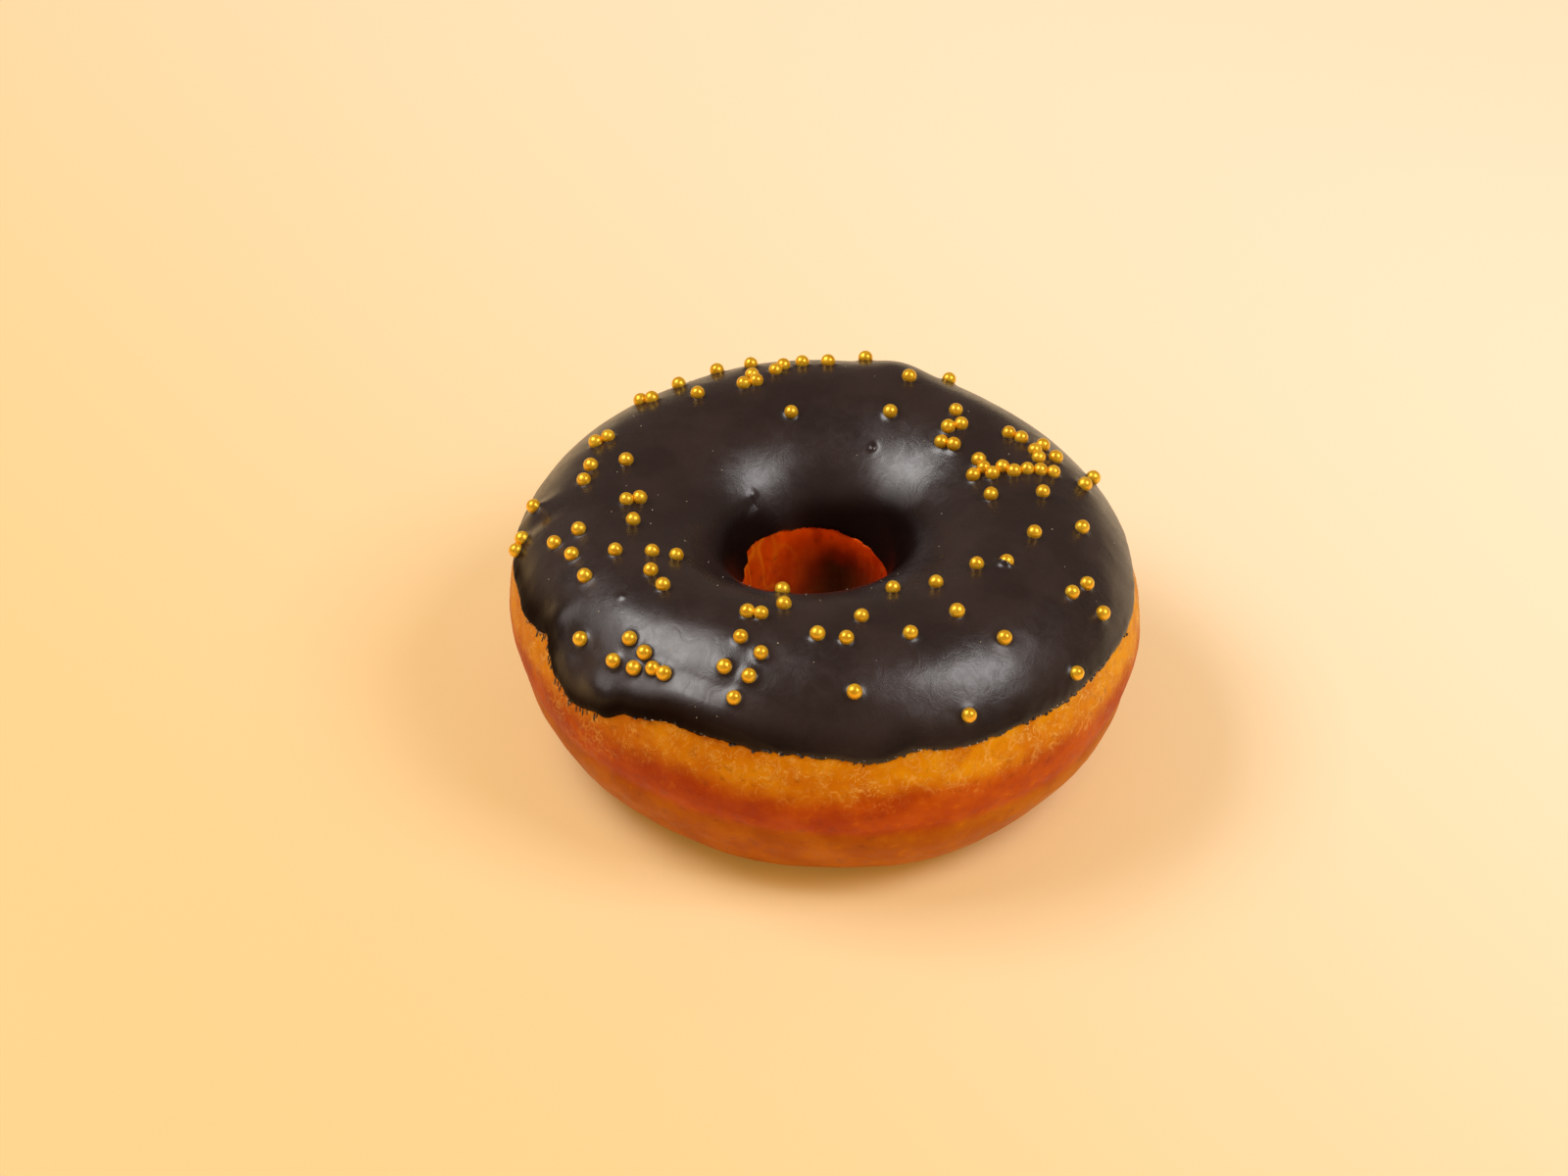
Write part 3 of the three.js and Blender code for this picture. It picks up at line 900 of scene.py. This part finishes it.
def specks(material):
    """Pale specks on the glaze, and pale grains along the hem in front that are painted glints."""
    rng = np.random.default_rng(SEED + 3)
    places = []
    for bearing, lean in zip(rng.uniform(0, 360, SPECKS), rng.uniform(*SPECK_LEANS, SPECKS)):
        sizes = rng.uniform(0.045, 0.1, 3) * MM
        places.append([bearing, lean, face_level(bearing, lean) + 0.02 * MM, *sizes])
    # Painted glints: pale grains on the lip of the front hem.
    for bearing in rng.uniform(*HEM_GLINT_SPAN, HEM_GLINTS):
        inside = rng.uniform(0.05, 0.3) * MM
        lean = hem_at(bearing) - lean_for(inside)
        sizes = rng.uniform(0.07, 0.15, 3) * MM
        places.append([bearing, lean, lip_level(bearing, lean, inside), *sizes])
    grains("pale_specks_and_glints", places, material)


# ---- Camera, floor and light ----
CAMERA_TARGET = Vector((-5.5, 28.5, 0)) * MM
CAMERA_DISTANCE = 620 * MM
CAMERA_ELEVATION = math.radians(38)
CAMERA_LENS = 95.45
SENSOR_WIDTH = 36
FLOOR_HALF = 6.0
PAPER_FADE = 0.26, 0.95  # distances from the axis between which the paper fades into the backdrop
CONTACT_RIM = 0.034, 0.042  # distances between which its painted fill glow comes back outside the doughnut's foot; the dimmer glow inside is a painted contact shadow
HOLE_RIM = 0.012, 0.02  # distances between which its painted fill glow fades under the hole's wall, as painted shade there
LIGHT_DISTANCE = 0.75
BACKDROP = (1.0, 0.78, 0.47)
LEFT_PAPER = (0.75, 0.545, 0.325)
RIGHT_PAPER = (0.84, 0.8, 0.78)
# Painted fill light: the paper's glow, and its dimmer glow next to the doughnut as a painted contact
# shadow.
PAINTED_FILL_GLOW = (0.3, 0.18, 0.03)
CONTACT_SHADOW_GLOW = (0.16, 0.092, 0.012)
ROOM = (0.42, 0.29, 0.14)
MIRRORED_ROOM = (0.21, 0.165, 0.14)
BLACK = (0.0, 0.0, 0.0)


def camera():
    data = bpy.data.cameras.new("camera")
    data.lens = CAMERA_LENS
    data.sensor_width = SENSOR_WIDTH
    data.clip_start, data.clip_end = 0.01, 50
    made = bpy.data.objects.new("camera", data)
    back = Vector((0, -math.cos(CAMERA_ELEVATION), math.sin(CAMERA_ELEVATION)))
    made.location = CAMERA_TARGET + back * CAMERA_DISTANCE
    made.rotation_euler = back.to_track_quat("Z", "Y").to_euler()
    bpy.context.scene.collection.objects.link(made)
    bpy.context.scene.camera = made


def softbox(name, direction, size, power, colour, sheen_only=False):
    """A rectangular soft light that faces the doughnut. Its direction is an azimuth and an elevation in
    degrees. Azimuth 0 is towards the viewer, 90 to the right."""
    data = bpy.data.lights.new(name, "AREA")
    data.shape = "RECTANGLE"
    data.size, data.size_y = size
    data.energy = power
    data.color = colour
    lamp = bpy.data.objects.new(name, data)
    a, e = (math.radians(angle) for angle in direction)
    away = Vector((math.sin(a) * math.cos(e), -math.cos(a) * math.cos(e), math.sin(e)))
    lamp.location = away * LIGHT_DISTANCE
    lamp.rotation_euler = away.to_track_quat("Z", "Y").to_euler()
    lamp.visible_diffuse = not sheen_only
    bpy.context.scene.collection.objects.link(lamp)


def floor_material():
    """Pale paper, warmer on the left. It glows a little as painted fill light, less beside the doughnut as
    a painted contact shadow, and fades far off into the backdrop."""
    material, tree, shader = new_material("floor_paper")
    place = node(tree, "TexCoord").outputs["Object"]
    parts = node(tree, "SeparateXYZ", {0: place}).outputs
    across = calculate(tree, "ADD", parts[0], calculate(tree, "MULTIPLY", parts[1], 0.8))
    colour = blend(tree, spread(tree, across, -0.15, 0.23), LEFT_PAPER, RIGHT_PAPER)
    distance = node(tree, "VectorMath", {0: place}, operation="LENGTH").outputs["Value"]
    far = spread(tree, distance, *PAPER_FADE)
    outside = spread(tree, distance, *CONTACT_RIM)
    in_hole = spread(tree, distance, *HOLE_RIM, 1, 0)
    # Painted fill light on the paper, dimmed to a painted contact shadow at the foot and under the hole.
    painted_glow = blend(tree, calculate(tree, "MAXIMUM", outside, in_hole), CONTACT_SHADOW_GLOW, PAINTED_FILL_GLOW)
    tree.links.new(blend(tree, far, colour, BLACK), shader.inputs["Base Color"])
    tree.links.new(blend(tree, far, painted_glow, BACKDROP), shader.inputs["Emission Color"])
    tree.links.new(calculate(tree, "SUBTRACT", 1, far), shader.inputs["Specular IOR Level"])
    shader.inputs["Emission Strength"].default_value = 1
    shader.inputs["Roughness"].default_value = 0.8
    shader.inputs["IOR"].default_value = 1.2
    return material


def floor():
    mesh = bpy.data.meshes.new("floor")
    half = FLOOR_HALF
    corners = [(-half, -half, 0), (half, -half, 0), (half, half, 0), (-half, half, 0)]
    mesh.from_pydata(corners, [], [(0, 1, 2, 3)])
    mesh.materials.append(floor_material())
    made = bpy.data.objects.new("floor", mesh)
    bpy.context.scene.collection.objects.link(made)


def world():
    """Dim warm room light, dimmer where it is mirrored. Seen directly it is as pale as the backdrop."""
    made = bpy.data.worlds.new("studio")
    bpy.context.scene.world = made
    made.use_nodes = True
    tree = made.node_tree
    path = node(tree, "LightPath").outputs
    colour = blend(tree, path["Is Glossy Ray"], ROOM, MIRRORED_ROOM)
    colour = blend(tree, path["Is Camera Ray"], colour, BACKDROP)
    tree.links.new(colour, tree.nodes["Background"].inputs["Color"])


camera()
floor()
world()
softbox("left_light", (-94, 56), (0.44, 0.28), 2.45, (1.0, 0.98, 0.97))
softbox("left_sheen", (-92, 44), (0.54, 0.52), 1.2, (1.0, 0.97, 0.95), sheen_only=True)
softbox("right_light", (66, 50), (0.32, 0.32), 2.2, (1.0, 0.98, 0.98))
bpy.context.scene.view_settings.view_transform = "Standard"

seats = pearls(gold_material())
dough(dough_material())
chocolate = glaze_material()
glaze(chocolate, seats)
drips(chocolate)
crumbs(crumb_material("crust_crumb", CRUMB))
specks(crumb_material("pale_specks_and_glints", PALE_SPECK_AND_GLINT))
